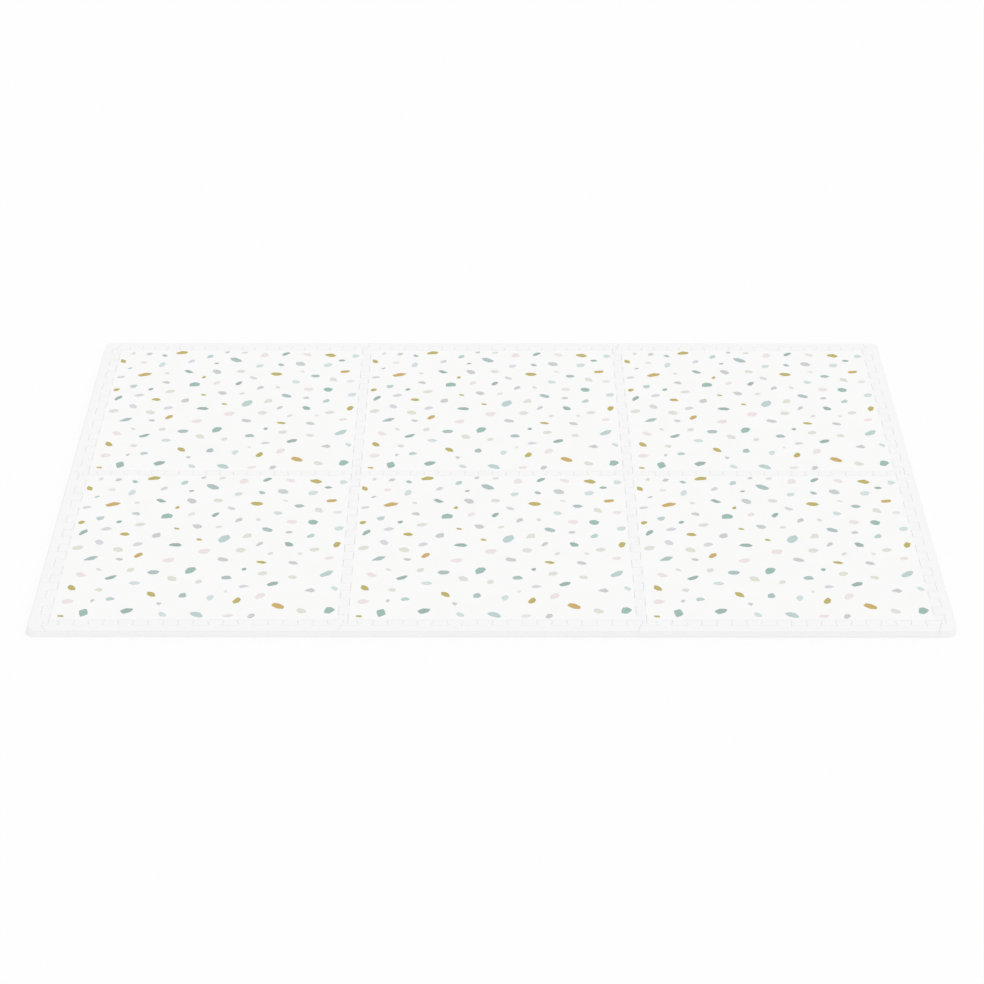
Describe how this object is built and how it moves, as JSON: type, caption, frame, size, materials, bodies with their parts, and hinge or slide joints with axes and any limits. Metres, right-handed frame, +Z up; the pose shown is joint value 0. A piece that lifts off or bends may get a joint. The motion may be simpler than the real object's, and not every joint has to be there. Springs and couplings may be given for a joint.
{
  "type": "modular play mat",
  "caption": "Flat play mat of square foam tiles locked edge to edge by dovetail teeth, framed by straight edge strips, with a scattered stone-chip print.",
  "frame": {"origin": "on the floor, under the middle of the mat", "axes": "+X along the long side, towards the right in the picture; +Y away from the viewer; +Z up"},
  "size_m": [1.8596, 1.2596, 0.016],
  "materials": {
    "tile_foam": "matt closed-cell foam with a fine embossed grain, off-white, printed with small chips",
    "strip_foam": "matt closed-cell foam with a fine embossed grain, off-white, unprinted"
  },
  "bodies": {
    "root": {"tile_front_left": "tile_foam", "tile_front_middle": "tile_foam", "tile_front_right": "tile_foam", "tile_back_left": "tile_foam", "tile_back_middle": "tile_foam", "tile_back_right": "tile_foam", "strip_front_left": "strip_foam", "strip_front_middle": "strip_foam", "strip_front_right": "strip_foam", "strip_right_front": "strip_foam", "strip_right_back": "strip_foam", "strip_back_right": "strip_foam", "strip_back_middle": "strip_foam", "strip_back_left": "strip_foam", "strip_left_back": "strip_foam", "strip_left_front": "strip_foam"}
  },
  "joints": []
}
